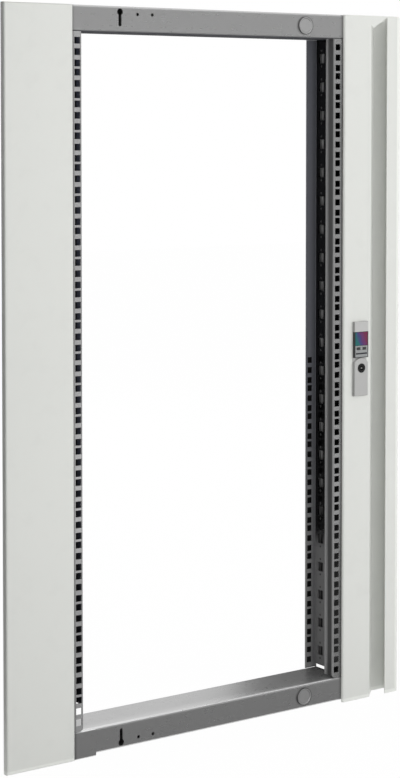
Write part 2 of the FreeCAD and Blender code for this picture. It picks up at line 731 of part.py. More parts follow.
def crank_plate():
    """Double crank set slantwise on the square end of the spindle, with bevelled corners."""
    long = CRANK_HALF_LENGTH
    wide = CRANK_HALF_WIDTH
    plate = block(-long, long, CRANK_FRONT, CRANK_FRONT + CRANK_THICK, -wide, wide)
    plate = plate.makeChamfer(CRANK_BEVEL, [e for e in plate.Edges if e.BoundBox.YLength > CRANK_THICK / 2])
    plate.rotate(FreeCAD.Vector(0, 0, 0), INWARD, -45)
    plate.translate(FreeCAD.Vector(LOCK_X, 0, LOCK_Z))
    half = SPINDLE_SQUARE / 2 + 0.05
    return plate.cut(block(LOCK_X - half, LOCK_X + half, 0, 20, LOCK_Z - half, LOCK_Z + half))


def crank_pins():
    start = CRANK_FRONT + CRANK_THICK
    end = ROD_FRONT + ROD_THICK + PIN_STICK_OUT
    pins = [rod_along(INWARD, CRANK_PIN_RADIUS, end - start, x, start, z) for x, z in crank_pin_places()]
    return Part.makeCompound(pins)


def lock_rod(way, end_z):
    """Flat rod with an open fork at the crank; way is 1 for the upper rod and -1 for the lower."""
    y1 = ROD_FRONT + ROD_THICK
    fork_z = LOCK_Z + way * ROD_TRAVEL / 2
    fork_x = sorted((LOCK_X + way * FORK_INNER, LOCK_X + way * FORK_OUTER))
    fork = block(*fork_x, ROD_FRONT, y1, fork_z - FORK_HEIGHT / 2, fork_z + FORK_HEIGHT / 2)
    slot_end = CRANK_PIN_ARM + CRANK_PIN_RADIUS + 0.6
    slot_x = sorted((LOCK_X + way * (FORK_INNER - 1), LOCK_X + way * slot_end))
    slot = block(*slot_x, ROD_FRONT - 1, y1 + 1, fork_z - FORK_SLOT / 2, fork_z + FORK_SLOT / 2)
    rod_x = LOCK_X + way * ROD_OFFSET
    half = ROD_WIDTH / 2
    near = fork_z + way * FORK_HEIGHT / 2
    tip = end_z - way * ROD_POINT
    outline = [
        (rod_x - half, near), (rod_x - half, tip), (rod_x - half / 2, end_z),
        (rod_x + half / 2, end_z), (rod_x + half, tip), (rod_x + half, near), (rod_x - half, near),
    ]
    points = [FreeCAD.Vector(x, ROD_FRONT, z) for x, z in outline]
    bar = Part.Face(Part.makePolygon(points)).extrude(INWARD * ROD_THICK)
    return fork.cut(slot).fuse(bar).removeSplitter()


def rod_guide(way, z):
    """Moulded block that a rod slides through, with an ear for its stud."""
    x = LOCK_X + way * ROD_OFFSET
    half = GUIDE_WIDTH / 2
    z0 = z - GUIDE_HEIGHT / 2
    z1 = z + GUIDE_HEIGHT / 2
    body = block(x - half, x + half, PANEL_SHEET, GUIDE_BACK, z0, z1)
    back_edges = [e for e in body.Edges if e.BoundBox.YMin > GUIDE_BACK - 0.01 and e.BoundBox.ZLength > 1]
    body = body.makeChamfer(GUIDE_BEVEL, back_edges)
    ear_x = sorted((x, LOCK_X - way * half))
    ear = block(*ear_x, PANEL_SHEET, PANEL_SHEET + GUIDE_EAR, z0, z1)
    room = ROD_WIDTH / 2 + GUIDE_SLACK
    channel = block(
        x - room, x + room, ROD_FRONT - GUIDE_SLACK, ROD_FRONT + ROD_THICK + GUIDE_SLACK, z0 - 1, z1 + 1
    )
    return body.fuse(ear).cut(channel).removeSplitter()


def rod_guides():
    guides = [rod_guide(1, z) for z in UPPER_GUIDES]
    guides += [rod_guide(-1, z) for z in LOWER_GUIDES]
    return Part.makeCompound(guides)


def lock_case():
    """Folded cover over the crank, open above and below for the rods."""
    half = CASE_SHEET / 2
    x0 = LOCK_X - CASE_HALF - half
    x1 = LOCK_X + CASE_HALF + half
    y = CASE_BACK + half
    corners = [(x0, PANEL_SHEET), (x0, y), (x1, y), (x1, PANEL_SHEET)]
    case = folded_sheet(corners, CASE_SHEET, CASE_SHEET, in_plan, UP * CASE_HEIGHT)
    case.translate(UP * (LOCK_Z - CASE_HEIGHT / 2))
    return case


def save_hinge():
    lower_plate = pivot_plate(LOWER_PLATE_BOTTOM, LOWER_PLATE_THICK)
    upper_plate = pivot_plate(UPPER_PLATE_BOTTOM, UPPER_PLATE_THICK)
    save("pivot_plates", Part.makeCompound([lower_plate, upper_plate]))
    reach = BUSH_LENGTH + PIN_OVERLAP
    upper_top = UPPER_PLATE_BOTTOM + UPPER_PLATE_THICK
    spans = [(LOWER_PLATE_BOTTOM, SHOE_BOTTOM + reach), (ARM_TOP - reach, upper_top)]
    pins = [rod_along(UP, PIVOT_RADIUS, top - low, PIVOT_X, PIVOT_Y, low) for low, top in spans]
    save("pivot_pins", Part.makeCompound(pins))
    save("pivot_bushes", Part.makeCompound([bush(SHOE_BOTTOM, 1), bush(ARM_TOP, -1)]))
    save("hinge_shoe", hinge_shoe())
    save("upper_hinge_arm", upper_hinge_arm())
    arm_screws = [mirrored(web_screw(y, z, ARM_SHEET)) for y, z in arm_screw_places()]
    save("hinge_arm_screws", Part.makeCompound(arm_screws))


def save_frame():
    save("left_upright", mirrored(upright(LEFT_LIP_START)))
    save("right_upright", upright(RIGHT_LIP_START))
    save("left_side_channel", mirrored(side_channel(LEFT_CHANNEL_TOP)))
    save("right_side_channel", side_channel(RIGHT_CHANNEL_TOP))
    rail = bottom_rail()
    save("bottom_rail", rail)
    save("top_rail", upside_down(rail))
    cap = lower_cover_cap()
    save("cover_caps", Part.makeCompound([cap, upside_down(cap)]))


def save_panels():
    save("left_trim_panel", left_trim_panel())
    save("right_trim_panel", right_trim_panel())
    save("right_panel_brackets", Part.makeCompound([panel_bracket(z) for z in RIGHT_BRACKETS]))
    save("left_panel_brackets", Part.makeCompound([mirrored(panel_bracket(z)) for z in LEFT_BRACKETS]))
    screws = [web_screw(BRACKET_SCREW_Y, z, BRACKET_SHEET) for z in RIGHT_BRACKETS]
    screws += [mirrored(web_screw(BRACKET_SCREW_Y, z, BRACKET_SHEET)) for z in LEFT_BRACKETS]
    save("bracket_screws", Part.makeCompound(screws))
    save("panel_nuts", panel_nuts())


def save_lock():
    save("lock_base", lock_base())
    save("display_insert", display_insert())
    save("display_window", display_window())
    save("status_strip", status_strip())
    save("keypad_plate", keypad_plate())
    for name, place in zip(("left_button", "right_button"), button_places()):
        save(name, push_button(place))
    save("lock_lever", lock_lever())
    save("lock_ring", lock_ring())
    save("lock_barrel", lock_barrel())
    save("barrel_cam", barrel_cam())
    save("cam_screw", cam_screw())
    save("crank_plate", crank_plate())
    save("crank_pins", crank_pins())
    save("upper_rod", lock_rod(1, UPPER_ROD_END))
    save("lower_rod", lock_rod(-1, LOWER_ROD_END))
    save("rod_guides", rod_guides())
    save("lock_case", lock_case())


os.makedirs("parts", exist_ok=True)
save_hinge()
save_frame()
save_panels()
save_lock()
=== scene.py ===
import json
import math

import bmesh
import bpy
from mathutils import Matrix, Vector


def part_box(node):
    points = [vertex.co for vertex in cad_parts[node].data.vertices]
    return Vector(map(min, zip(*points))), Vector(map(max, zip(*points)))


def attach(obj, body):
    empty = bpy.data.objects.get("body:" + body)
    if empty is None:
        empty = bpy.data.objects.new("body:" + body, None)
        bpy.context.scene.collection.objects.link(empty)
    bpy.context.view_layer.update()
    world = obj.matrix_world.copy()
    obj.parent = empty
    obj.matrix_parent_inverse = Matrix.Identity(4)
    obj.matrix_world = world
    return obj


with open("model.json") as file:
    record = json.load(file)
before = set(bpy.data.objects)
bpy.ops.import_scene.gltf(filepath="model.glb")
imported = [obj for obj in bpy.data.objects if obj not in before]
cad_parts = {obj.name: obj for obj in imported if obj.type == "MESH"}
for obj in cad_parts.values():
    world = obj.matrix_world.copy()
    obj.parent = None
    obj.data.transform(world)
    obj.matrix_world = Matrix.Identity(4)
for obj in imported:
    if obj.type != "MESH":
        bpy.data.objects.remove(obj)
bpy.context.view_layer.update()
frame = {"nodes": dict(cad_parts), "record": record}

# Looks for a hinged rack frame, in metres, in the frame of its solids:
# X from the hinge to the lock side, Y from the front into the cabinet, Z up the pivot axis.

CAMERA_PLACE = (-1.3286, -2.3576, 0.9150)
CAMERA_YAW = 34.527
CAMERA_PITCH = 2.476
CAMERA_LENS = 89.027
CAMERA_SENSOR = 36.0
CAMERA_SHIFT = -0.240
CAMERA_REACH = 60.0

WHITE = (1.0, 1.0, 1.0, 1.0)
FLOOR_MIDDLE = (0.3, 0.0)
FLOOR_HALF = 9.0
FLOOR_DROP = 0.0005
FLOOR_GREY = 0.88
FLOOR_SHARE_WHITE = 0.985
ROOM_LIGHT = 0.55
ROOM_LEFT = 0.36
ROOM_BACK = 0.55
ROOM_ACROSS = (-0.6, 0.4)
ROOM_BEHIND = (-0.1, 0.6)

# Each pair below is where a zone of a finish starts and where it is complete.
# Zones of the uprights and channels count across from the frame's middle,
# the others from the frame's origin.

FRAME_MIDDLE = 0.29
LOCK_HALF = (-0.0100, 0.0100)
FLANGE_BACK = (-0.0385, -0.0380)
FLANGE_REAR = (0.0266, 0.0273)
# Start of the painted shadow beside the panels, on the rails and the uprights' front flanges.
PANEL_SHADOW_FROM = (0.2360, 0.2415)
LIP_FACE = (0.2256, 0.2262)
LIP_BACK = (0.2262, 0.2268)
LIP_ROOT = (0.2280, 0.2300)
LIP_LOW = (0.2500, 0.6000)
BEAD_FROM = (-0.0300, -0.0240)
BEND_TO = (0.2270, 0.2278)
FOOT_FROM = (-0.0180, -0.0100)
FOOT_TO = (0.2350, 0.2750)
REAR_FOLD = (0.2310, 0.2430)
REAR_LOW = (0.2000, 0.5500)
HOLLOW_LOW = (0.1500, 0.6000)
# Painted shade and light of the uprights' rear flange, fold, lip and bead.
REAR_FLANGE_SHADE = (0.180, 0.185, 0.210, 1.0)
REAR_FLANGE_LOW_LIGHT = (0.300, 0.300, 0.300, 1.0)
HOLLOW_SHADE = (0.100, 0.110, 0.150, 1.0)
FOOT_LIGHT = (0.190, 0.190, 0.190, 1.0)
LIP_SHADE = (0.085, 0.085, 0.085, 1.0)
BEAD_HIGHLIGHT = (0.270, 0.270, 0.270, 1.0)
BEND_HIGHLIGHT = (0.270, 0.270, 0.270, 1.0)

# Zones of the side channels' painted light and shade.
REAR_WALL_FROM = (0.0330, 0.0336)
REAR_WALL_TO = (0.0345, 0.0350)
REAR_WALL_SHADE_TO = (0.2480, 0.2500)
END_WALL_FROM = (0.2598, 0.2602)
END_WALL_TO = (0.2608, 0.2614)
END_WALL_LIGHT_RISE = (0.2600, 0.3800)
REAR_WALL_SHADE_GREY = 0.012
END_WALL_SHADE_AND_LIGHT = (0.04, 0.50)

# Zones of the rails' painted highlight, painted light and painted shade.
EDGE_DEPTH = (-0.0384, -0.0344)
EDGE_LOW = (0.0447, 0.0457)
EDGE_HIGH = (0.0480, 0.0490)
LIT_FRONT_REACH = (-0.0400, -0.0150)
UNDERSIDE_FROM = (1.0360, 1.0365)
UNDERSIDE_TO = (1.0384, 1.0396)
UNDERSIDE_SHADE = (0.060, 0.062, 0.072, 1.0)

CAP_AXIS = 0.4590
CAP_HEIGHTS = (0.0285, 1.0565)
CAP_EDGE = (0.0122, 0.0131)
CAP_RING_FROM = (0.0098, 0.0103)
CAP_RING_TO = (0.0108, 0.0113)

LEVER_TOP = (0.5430, 0.5470)
LEVER_FRONT = (-0.0497, -0.0491)
SHOULDER_FROM = (0.5362, 0.5370)
SHOULDER_TO = (0.5452, 0.5458)
LOCK_SIDE = (0.5497, 0.5502)
LOCK_FOOT = (0.4858, 0.4864)
BARREL_AXIS = (0.5630, 0.5288)
BARREL_PIN = (0.0008, 0.0015)

# Bands of the painted highlights along the panels' lower edge and the right panel's outer edge.
LOWER_EDGE_HIGHLIGHT = (0.0110, 0.0135)
OUTER_EDGE_HIGHLIGHT = (0.6360, 0.6385)

UNITS = 22
UNIT_PITCH = 0.04445
WEB_SHEET = 0.002
WEB_MARK_DEPTH = 0.0155
WEB_MARK_SIDE = 0.0036
WEB_MARK_OFFSET = 0.0122
WEB_MARK_THICK = 0.00012
WEB_MARK_TAPER = 0.9
WEB_MARK_CORNERS = 16

# Strength and depth of the bump on rolled sheet, and the depth on everything with a finer grain.
SHEET_BUMP = (0.04, 0.0002)
FINE_BUMP = 0.0001


def grey(level):
    return (level, level, level, 1.0)


class Reading:
    """What one socket of a finish gives at each point. Sums and products of it add Math nodes."""

    def __init__(self, finish, socket):
        self.finish = finish
        self.socket = socket

    def maths(self, operation, *parts):
        return self.finish.node("ShaderNodeMath", {"operation": operation}, dict(enumerate(parts)))

    def __add__(self, other):
        return self.maths("ADD", self, other)

    __radd__ = __add__

    def __sub__(self, other):
        return self.maths("SUBTRACT", self, other)

    def __rsub__(self, other):
        return self.maths("SUBTRACT", other, self)

    def __mul__(self, other):
        return self.maths("MULTIPLY", self, other)

    __rmul__ = __mul__

    def __truediv__(self, other):
        return self.maths("DIVIDE", self, other)

    def __rtruediv__(self, other):
        return self.maths("DIVIDE", other, self)

    def __abs__(self):
        return self.maths("ABSOLUTE", self)

    def power(self, exponent):
        return self.maths("POWER", self, exponent)

    def lowest(self, other):
        return self.maths("MINIMUM", self, other)

    def highest(self, other):
        return self.maths("MAXIMUM", self, other)

    def step(self, start, end):
        """0 below start, 1 above end, smooth between them."""
        settings = {"interpolation_type": "SMOOTHSTEP"}
        return self.finish.node("ShaderNodeMapRange", settings, {0: self, 1: start, 2: end})

    def past(self, zone):
        return self.step(*zone)

    def before(self, zone):
        return 1.0 - self.step(*zone)

    def between(self, start, end):
        return self.past(start) * self.before(end)


class Finish:
    """One material, built round its Principled shader."""

    def __init__(self, name):
        self.material = bpy.data.materials.new(name)
        self.material.use_nodes = True
        self.tree = self.material.node_tree
        self.shader = self.tree.nodes["Principled BSDF"]

    def node(self, kind, settings, values, out=0):
        made = self.tree.nodes.new(kind)
        for key, value in settings.items():
            setattr(made, key, value)
        for key, value in values.items():
            self.feed(made.inputs[key], value)
        return Reading(self, made.outputs[out])

    def feed(self, socket, value):
        if isinstance(value, Reading):
            self.tree.links.new(value.socket, socket)
        else:
            socket.default_value = value

    def set(self, **values):
        """Feeds sockets of the Principled shader, named with underscores for spaces."""
        for key, value in values.items():
            self.feed(self.shader.inputs[key.replace("_", " ")], value)
        return self.material

    def place(self, kind="Object"):
        return self.node("ShaderNodeTexCoord", {}, {}, kind)

    def axis(self, letter, kind="Object"):
        return self.node("ShaderNodeSeparateXYZ", {}, {0: self.place(kind)}, letter)

    def stretched(self, scale):
        values = {0: self.place(), 1: scale}
        return self.node("ShaderNodeVectorMath", {"operation": "MULTIPLY"}, values)

    def cloud(self, scale, detail=2.0, stretch=(1.0, 1.0, 1.0)):
        values = {"Vector": self.stretched(stretch), "Scale": scale, "Detail": detail}
        return self.node("ShaderNodeTexNoise", {}, values, 0)

    def cells(self, scale):
        """One random level for each cell of a pattern."""
        values = {"Vector": self.place(), "Scale": scale}
        cell = self.node("ShaderNodeTexVoronoi", {}, values, "Color")
        return self.node("ShaderNodeSeparateColor", {}, {0: cell}, 0)

    def blend(self, share, under, over):
        settings = {"data_type": "RGBA", "clamp_factor": True}
        return self.node("ShaderNodeMix", settings, {0: share, 6: under, 7: over}, 2)

    def bump(self, height, strength, depth):
        values = {"Strength": strength, "Distance": depth, "Height": height}
        return self.node("ShaderNodeBump", {}, values)

    def edges(self, width):
        """Near 1 on sharp outer edges, 0 on flat stretches."""
        soft = self.node("ShaderNodeBevel", {"samples": 4}, {"Radius": width})
        flat = self.node("ShaderNodeNewGeometry", {}, {}, "Normal")
        settings = {"operation": "DOT_PRODUCT"}
        same = self.node("ShaderNodeVectorMath", settings, {0: soft, 1: flat}, "Value")
        return (1.0 - same).step(0.01, 0.16)


def tone(colour, share):
    """A colour made lighter or darker by a share."""
    return tuple(min(1.0, part * share) for part in colour[:3]) + (1.0,)


def powder_coat(name, colour):
    """Light powder coat: fine orange peel, faint clouding, painted highlights along the lower and
    outer edges.
    """
    paint = Finish(name)
    clouding = paint.cloud(2.6, 3.0)
    handling = paint.cloud(38.0, 4.0).step(0.52, 0.72)
    base = paint.blend(clouding, tone(colour, 0.97), tone(colour, 1.03))
    base = paint.blend(handling * 0.25, base, tone(colour, 0.93))
    # Painted highlight: a lighter band along the lower edge and along the outer edge, where the
    # bends catch light.
    lower_edge_highlight = paint.axis("Z").before(LOWER_EDGE_HIGHLIGHT)
    outer_edge_highlight = paint.axis("X").past(OUTER_EDGE_HIGHLIGHT)
    base = paint.blend(lower_edge_highlight.highest(outer_edge_highlight), base, tone(colour, 1.16))
    peel = paint.cloud(1500.0, 1.0)
    return paint.set(
        Base_Color=base,
        Roughness=0.42 + handling * 0.08,
        Normal=paint.bump(peel, 0.10, 0.0002),
    )


def rolled_zinc(metal, colour, along):
    """Colour, streaks and spangle of zinc-coated sheet that was rolled along one axis."""
    stretch = [500.0, 500.0, 500.0]
    stretch["XYZ".index(along)] = 5.0
    streaks = metal.cloud(1.0, 3.0, tuple(stretch))
    spangle = metal.cells(170.0)
    smudge = metal.cloud(24.0, 4.0)
    base = metal.blend(spangle, tone(colour, 0.96), tone(colour, 1.04))
    base = metal.blend(smudge.step(0.5, 0.8) * 0.3, base, tone(colour, 0.88))
    base = metal.blend(metal.edges(0.0008) * 0.4, base, tone(colour, 1.3))
    return base, streaks, spangle


def rail_sheet(name, colour, roughness):
    """Zinc sheet with painted light and shade: lighter in front, a painted highlight on the lower
    rail's upper front edge, painted shadow beside the panels and painted shade on the top rail's
    lower face.
    """
    metal = Finish(name)
    base, streaks, spangle = rolled_zinc(metal, colour, "X")
    inward = metal.axis("Y")
    height = metal.axis("Z")
    aside = abs(metal.axis("X") - FRAME_MIDDLE)
    # Painted highlight along the lower rail's upper front edge.
    front_edge_highlight = inward.before(EDGE_DEPTH) * height.between(EDGE_LOW, EDGE_HIGH)
    # Painted light: the front of each rail is lighter than its rear.
    base = metal.blend(inward.before(LIT_FRONT_REACH), base, tone(colour, 1.25))
    base = metal.blend(front_edge_highlight, base, tone(colour, 1.95))
    # Painted shadow: the rails are darker where they run in behind the panels' inner edges.
    panel_shadow = aside.past(PANEL_SHADOW_FROM) * inward.before(FLANGE_BACK)
    # Painted shade: the top rail's lower face is dark bluish and not metallic.
    shaded_underside = height.between(UNDERSIDE_FROM, UNDERSIDE_TO)
    base = metal.blend(panel_shadow * 0.5, base, tone(colour, 0.2))
    base = metal.blend(shaded_underside, base, UNDERSIDE_SHADE)
    return metal.set(
        Base_Color=base,
        Metallic=0.85 * (1.0 - shaded_underside),
        Roughness=(roughness + streaks * 0.08 + spangle * 0.03).highest(shaded_underside),
        Normal=metal.bump(streaks, *SHEET_BUMP),
    )


def channel_sheet(name, colour):
    """Duller sheet of the side channels, with painted light and shade: the end wall near black low
    down and pale higher up, the rear wall painted near black.
    """
    metal = Finish(name)
    base, streaks, spangle = rolled_zinc(metal, colour, "Z")
    inward = metal.axis("Y")
    aside = abs(metal.axis("X") - FRAME_MIDDLE)
    # Painted shade: the rear wall is near black.
    shaded_rear_wall = inward.between(REAR_WALL_FROM, REAR_WALL_TO) * aside.before(REAR_WALL_SHADE_TO)
    # Painted light and shade: the end wall is near black low down, pale grey and not metallic
    # higher up.
    pale = aside.between(END_WALL_FROM, END_WALL_TO) * (1.0 - shaded_rear_wall)
    low, high = END_WALL_SHADE_AND_LIGHT
    end_wall_light_and_shade = metal.blend(metal.axis("Z").past(END_WALL_LIGHT_RISE), grey(low), grey(high))
    base = metal.blend(pale, base, end_wall_light_and_shade)
    return metal.set(
        Base_Color=metal.blend(shaded_rear_wall, base, grey(REAR_WALL_SHADE_GREY)),
        Metallic=0.5 * (1.0 - pale),
        Roughness=0.40 + streaks * 0.08 + spangle * 0.03,
        Normal=metal.bump(streaks, *SHEET_BUMP),
    )


def upright_sheet(name, colour, roughness):
    """Zinc sheet with painted light and shade: lighter in front, painted shade inside the fold, on
    the lip and on the rear flange, painted highlights on the bead and bend; matt on the lip and the
    rear flange.
    """
    metal = Finish(name)
    base, streaks, spangle = rolled_zinc(metal, colour, "Z")
    across = metal.axis("X") - FRAME_MIDDLE
    aside = abs(across)
    lock_side = across.past(LOCK_HALF)
    inward = metal.axis("Y")
    height = metal.axis("Z")
    behind = inward.past(FLANGE_BACK)
    rear = inward.past(FLANGE_REAR)
    beaded = inward.past(BEAD_FROM)
    # Painted shadow on the front flanges next to the panels.
    panel_shadow = aside.past(PANEL_SHADOW_FROM) * (1.0 - behind)
    inside = aside.past(LIP_BACK) * behind * (1.0 - rear)
    opening_side = aside.before(LIP_FACE) * behind * (1.0 - rear)
    hidden_side = inside * aside.before(LIP_ROOT) * (1.0 - beaded)
    # Painted light: the low part of the lock-side web is lighter and matt.
    foot = inside * lock_side * inward.past(FOOT_FROM) * height.before(FOOT_TO)
    # Painted light: the front flanges are lighter and less metallic, half as much on the lock side.
    lit_front = (1.0 - behind) * (1.0 - lock_side * 0.5)
    # Painted shade and light: the rear flange is dark bluish, lighter low down.
    rear_shading = metal.blend(height.past(REAR_LOW), REAR_FLANGE_LOW_LIGHT, REAR_FLANGE_SHADE)
    # Painted shade: the hidden side of the fold is dark bluish, darker still low down.
    hollow_shade = metal.blend(height.past(HOLLOW_LOW), tone(HOLLOW_SHADE, 0.1), HOLLOW_SHADE)
    # Painted shade: the lip facing the opening is near black, darker low down.
    lip = metal.blend(height.past(LIP_LOW), tone(LIP_SHADE, 0.6), LIP_SHADE)
    base = metal.blend(lit_front, base, tone(colour, 1.3))
    base = metal.blend(panel_shadow * 0.75, base, tone(colour, 0.15))
    # Painted shade: the inside of the fold is near black.
    base = metal.blend(inside * 0.97, base, tone(colour, 0.08))
    base = metal.blend(rear, base, rear_shading)
    # Painted shade: the rear flange is darker still towards its fold.
    base = metal.blend(rear * aside.past(REAR_FOLD) * 0.6, base, tone(REAR_FLANGE_SHADE, 0.3))
    matt = rear
    for share, level in (
        (hidden_side, hollow_shade),
        (foot, FOOT_LIGHT),
        (opening_side * (1.0 - beaded), lip),
        # Painted highlights: lighter matt lines on the lip's bead and the front flange's bend.
        (opening_side * beaded, BEAD_HIGHLIGHT),
        (aside.before(BEND_TO) * (1.0 - behind), BEND_HIGHLIGHT),
    ):
        base = metal.blend(share, base, level)
        matt = matt.highest(share)
    return metal.set(
        Base_Color=base,
        Metallic=1.0 - matt.highest(lit_front * 0.5) * 0.8,
        Roughness=roughness + streaks * 0.08 + spangle * 0.03 + matt * 0.3,
        Normal=metal.bump(streaks, *SHEET_BUMP),
    )


def plated_steel(name, colour, roughness):
    """Small zinc-plated fitting: faint passivation tint, fine grain, worn corners."""
    metal = Finish(name)
    tint = metal.cloud(90.0, 3.0)
    grain = metal.cloud(1800.0, 1.0)
    warm = (colour[0] * 1.05, colour[1], colour[2] * 0.94)
    base = metal.blend(tint, tone(colour, 0.88), tone(warm, 1.05))
    base = metal.blend(metal.edges(0.0005) * 0.5, base, tone(colour, 1.3))
    return metal.set(
        Base_Color=base,
        Metallic=1.0,
        Roughness=roughness + grain * 0.12,
        Normal=metal.bump(grain, 0.08, FINE_BUMP),
    )


def drawn_bar(name, colour):
    """Bright drawn flat bar with fine lines along its length."""
    metal = Finish(name)
    lines = metal.cloud(1.0, 2.0, (1600.0, 1600.0, 8.0))
    base = metal.blend(lines, tone(colour, 0.85), tone(colour, 1.1))
    return metal.set(
        Base_Color=base,
        Metallic=1.0,
        Roughness=0.24 + lines * 0.14,
        Normal=metal.bump(lines, 0.10, FINE_BUMP),
    )


def turned_metal(name, colour, roughness):
    """Turned or plated round piece with faint tool marks."""
    metal = Finish(name)
    marks = metal.cloud(2600.0, 1.0)
    base = metal.blend(marks, tone(colour, 0.9), tone(colour, 1.08))
    return metal.set(
        Base_Color=base,
        Metallic=1.0,
        Roughness=roughness + marks * 0.1,
        Normal=metal.bump(marks, 0.05, FINE_BUMP),
    )


def key_barrel(name, colour):
    """Nickel barrel, near black round a bright middle."""
    metal = Finish(name)
    aside = metal.axis("X") - BARREL_AXIS[0]
    above = metal.axis("Z") - BARREL_AXIS[1]
    reach = (aside * aside + above * above).power(0.5)
    marks = metal.cloud(2600.0, 1.0)
    worn = metal.blend(marks, tone(colour, 1.2), tone(colour, 1.4))
    around = reach.past(BARREL_PIN)
    return metal.set(
        Base_Color=metal.blend(around, worn, grey(0.012)),
        Metallic=around * 0.9,
        Roughness=0.22 + marks * 0.1,
        Specular_IOR_Level=0.2,
        Normal=metal.bump(marks, 0.05, FINE_BUMP),
    )


def moulded(name, colour, roughness):
    """Moulded plastic with a fine spark-eroded grain and edges polished by touch."""
    plastic = Finish(name)
    pits = plastic.cloud(1300.0, 2.0)
    haze = plastic.cloud(55.0, 3.0)
    base = plastic.blend(haze, tone(colour, 0.9), tone(colour, 1.12))
    base = plastic.blend(plastic.edges(0.0004) * 0.4, base, tone(colour, 1.5))
    return plastic.set(
        Base_Color=base,
        Roughness=roughness + pits * 0.12,
        Normal=plastic.bump(pits, 0.16, FINE_BUMP),
    )


def cap_moulding(name, colour):
    """Metal-coated cap with a painted shadow round its edge and a faint ring on its face."""
    plastic = Finish(name)
    pits = plastic.cloud(1300.0, 2.0)
    haze = plastic.cloud(55.0, 3.0)
    height = plastic.axis("Z")
    aside = plastic.axis("X") - CAP_AXIS
    above = abs(height - CAP_HEIGHTS[0]).lowest(abs(height - CAP_HEIGHTS[1]))
    reach = (aside * aside + above * above).power(0.5)
    rim_shadow = reach.past(CAP_EDGE)
    ring = reach.between(CAP_RING_FROM, CAP_RING_TO)
    base = plastic.blend(haze, tone(colour, 0.94), tone(colour, 1.06))
    # Painted shadow round the cap's rim.
    base = plastic.blend((rim_shadow * 0.8).highest(ring * 0.35), base, grey(0.03))
    return plastic.set(
        Base_Color=base,
        Metallic=0.75,
        Roughness=0.28 + pits * 0.12,
        Normal=plastic.bump(pits, 0.10, FINE_BUMP),
    )


def lacquered_casting(name, colour):
    """Grey lacquer on a casting: soft grain, corners worn lighter, painted shade on the lever, the
    left side and the foot, painted light beside the lever's top.
    """
    paint = Finish(name)
    height = paint.axis("Z")
    shaded_lever = height.before(LEVER_TOP)
    lit_shoulder = paint.axis("Y").past(LEVER_FRONT) * height.between(SHOULDER_FROM, SHOULDER_TO)
    shaded = paint.axis("X").before(LOCK_SIDE).highest(height.before(LOCK_FOOT))
    grain = paint.cloud(900.0, 2.0)
    clouding = paint.cloud(30.0, 3.0)
    base = paint.blend(clouding, tone(colour, 0.95), tone(colour, 1.05))
    # Painted shade: the lever below its top is darker.
    base = paint.blend(shaded_lever, base, tone(colour, 0.88))
    base = paint.blend(paint.edges(0.0006) * 0.45, base, tone(colour, 1.2))
    # Painted light over the shadow in the corners beside the lever's rounded top.
    base = paint.blend(lit_shoulder, base, tone(colour, 1.08))
    # Painted shade on the left side and along the foot.
    base = paint.blend(shaded, base, tone(colour, 0.66))
    return paint.set(
        Base_Color=base,
        Roughness=0.34 + grain * 0.12,
        Normal=paint.bump(grain, 0.12, FINE_BUMP),
    )


def black_enamel(name, colour):
    enamel = Finish(name)
    peel = enamel.cloud(1700.0, 1.0)
    rub = enamel.edges(0.0004)
    return enamel.set(
        Base_Color=enamel.blend(rub * 0.5, colour, grey(0.06)),
        Roughness=0.3 + peel * 0.15,
        Specular_IOR_Level=0.1,
        Normal=enamel.bump(peel, 0.08, FINE_BUMP),
    )


def display_glass(name):
    """Clear front over soft vertical fields of plum, violet-blue, teal and purple."""
    glass = Finish(name)
    low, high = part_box("display_window")
    across = (glass.axis("X") - low[0]) / (high[0] - low[0])
    upward = (glass.axis("Z") - low[2]) / (high[2] - low[2])
    sway = (glass.cloud(130.0, 1.0) - 0.5) * 0.35
    drift = across + upward * 0.35 + sway
    plum = (0.110, 0.012, 0.045, 1.0)
    violet = (0.035, 0.030, 0.120, 1.0)
    teal = (0.006, 0.090, 0.090, 1.0)
    purple = (0.085, 0.018, 0.085, 1.0)
    field = glass.blend(drift.step(0.30, 0.52), teal, violet)
    field = glass.blend(drift.step(0.55, 0.76), field, purple)
    field = glass.blend(drift.step(0.84, 1.06), field, plum)
    sheen = glass.cloud(420.0, 2.0)
    return glass.set(
        Base_Color=field,
        Emission_Color=field,
        Emission_Strength=0.35,
        Roughness=0.10 + sheen * 0.06,
        Coat_Weight=0.6,
    )


def smoked_strip(name, colour):
    strip = Finish(name)
    depth = strip.cloud(350.0, 2.0)
    return strip.set(
        Base_Color=strip.blend(depth, tone(colour, 0.7), tone(colour, 1.5)),
        Roughness=0.10 + depth * 0.10,
        Coat_Weight=0.4,
    )


def slot_colours():
    return {row["slot"]: tuple(row["base_color"]) + (1.0,) for row in frame["record"]["materials"]}


